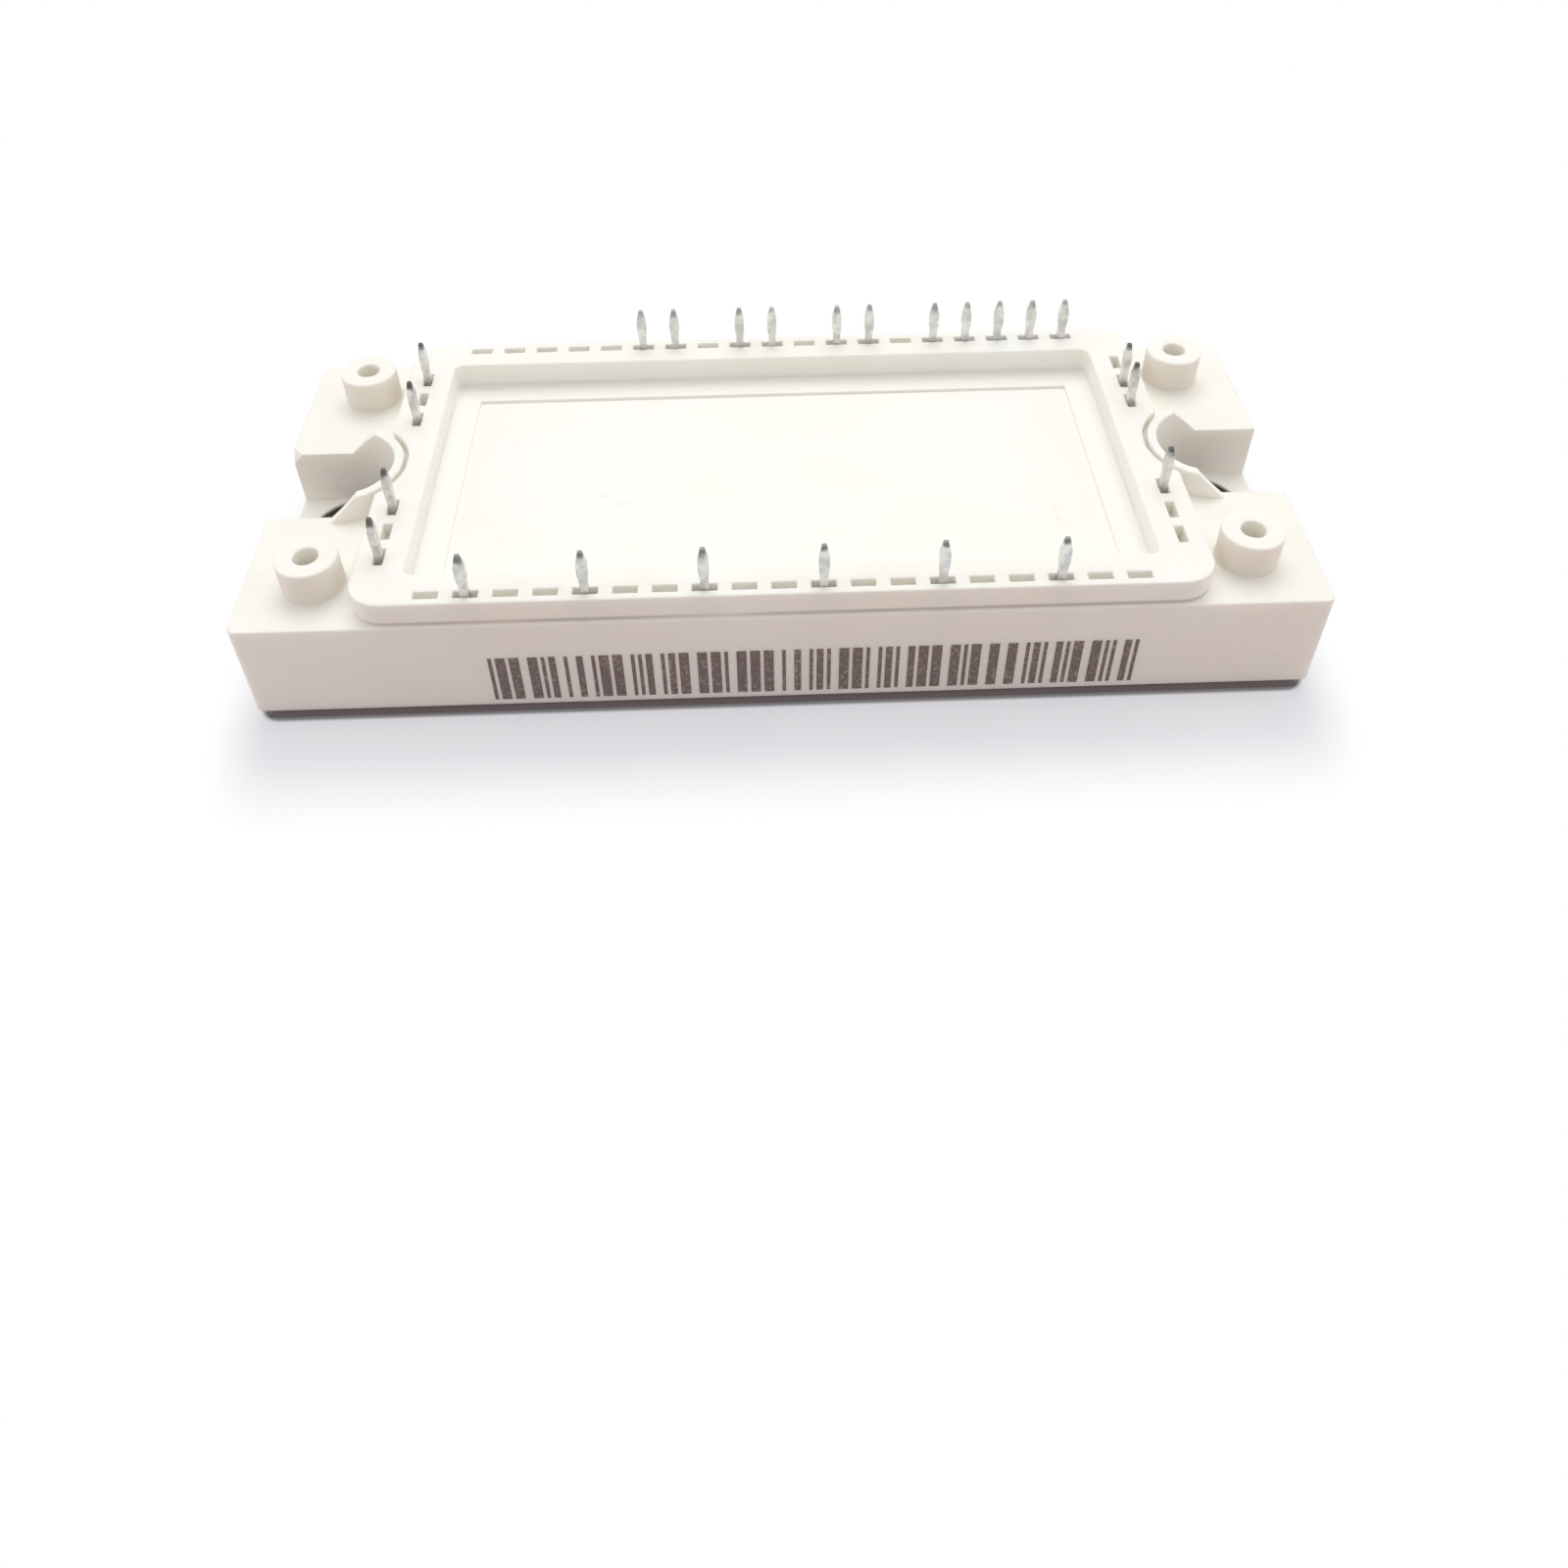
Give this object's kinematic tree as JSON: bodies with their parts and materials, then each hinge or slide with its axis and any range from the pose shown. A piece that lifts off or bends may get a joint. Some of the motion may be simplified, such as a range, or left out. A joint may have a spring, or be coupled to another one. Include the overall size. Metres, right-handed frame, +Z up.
{
  "type": "igbt power module",
  "caption": "Flat power semiconductor module: moulded frame housing with lid on a copper base plate, rows of solder terminals, screw notches at both ends and board standoffs.",
  "frame": {"origin": "centre of the base plate's lower face, which lies on the heatsink", "axes": "+X along the length of the module, +Y across it towards the long side with the densest row of terminals, +Z up along the terminals"},
  "size_m": [0.1076, 0.045, 0.0204],
  "materials": {
    "housing_plastic": "warm off-white glass-filled polyester, satin",
    "lid_plastic": "warm off-white polyester, satin",
    "ink": "dark grey-brown printing ink, matt",
    "nickel_plate": "nickel-plated copper, dull satin",
    "silicone_gel": "clear soft silicone gel",
    "solder": "dull solder",
    "copper": "bare copper, matt",
    "alumina": "white alumina, matt",
    "silicon": "metallised silicon, smooth grey",
    "thermistor_ceramic": "dark ceramic, matt",
    "aluminium_wire": "drawn aluminium wire",
    "tinned_copper": "tinned copper, satin"
  },
  "bodies": {
    "root": {"housing": "housing_plastic", "lid": "lid_plastic", "printed_bars": "ink", "base_plate": "nickel_plate", "gel_layer": "silicone_gel", "substrate_solder": "solder", "substrate_bottom_copper": "copper", "substrate_ceramic": "alumina", "substrate_top_copper": "copper", "igbt_chip_1": "silicon", "igbt_chip_2": "silicon", "igbt_chip_3": "silicon", "igbt_chip_4": "silicon", "igbt_chip_5": "silicon", "igbt_chip_6": "silicon", "igbt_chip_7": "silicon", "freewheel_diode_1": "silicon", "freewheel_diode_2": "silicon", "freewheel_diode_3": "silicon", "freewheel_diode_4": "silicon", "freewheel_diode_5": "silicon", "freewheel_diode_6": "silicon", "freewheel_diode_7": "silicon", "rectifier_diode_1": "silicon", "rectifier_diode_2": "silicon", "rectifier_diode_3": "silicon", "rectifier_diode_4": "silicon", "rectifier_diode_5": "silicon", "rectifier_diode_6": "silicon", "thermistor": "thermistor_ceramic", "igbt_wires": "aluminium_wire", "freewheel_wires": "aluminium_wire", "rectifier_wires": "aluminium_wire", "gate_wires": "aluminium_wire", "terminal_wires": "aluminium_wire", "terminal_1": "tinned_copper", "terminal_2": "tinned_copper", "terminal_3": "tinned_copper", "terminal_4": "tinned_copper", "terminal_5": "tinned_copper", "terminal_6": "tinned_copper", "terminal_7": "tinned_copper", "terminal_8": "tinned_copper", "terminal_9": "tinned_copper", "terminal_10": "tinned_copper", "terminal_11": "tinned_copper", "terminal_12": "tinned_copper", "terminal_13": "tinned_copper", "terminal_14": "tinned_copper", "terminal_15": "tinned_copper", "terminal_16": "tinned_copper", "terminal_17": "tinned_copper", "terminal_18": "tinned_copper", "terminal_19": "tinned_copper", "terminal_20": "tinned_copper", "terminal_21": "tinned_copper", "terminal_22": "tinned_copper", "terminal_23": "tinned_copper", "terminal_24": "tinned_copper"}
  },
  "joints": []
}
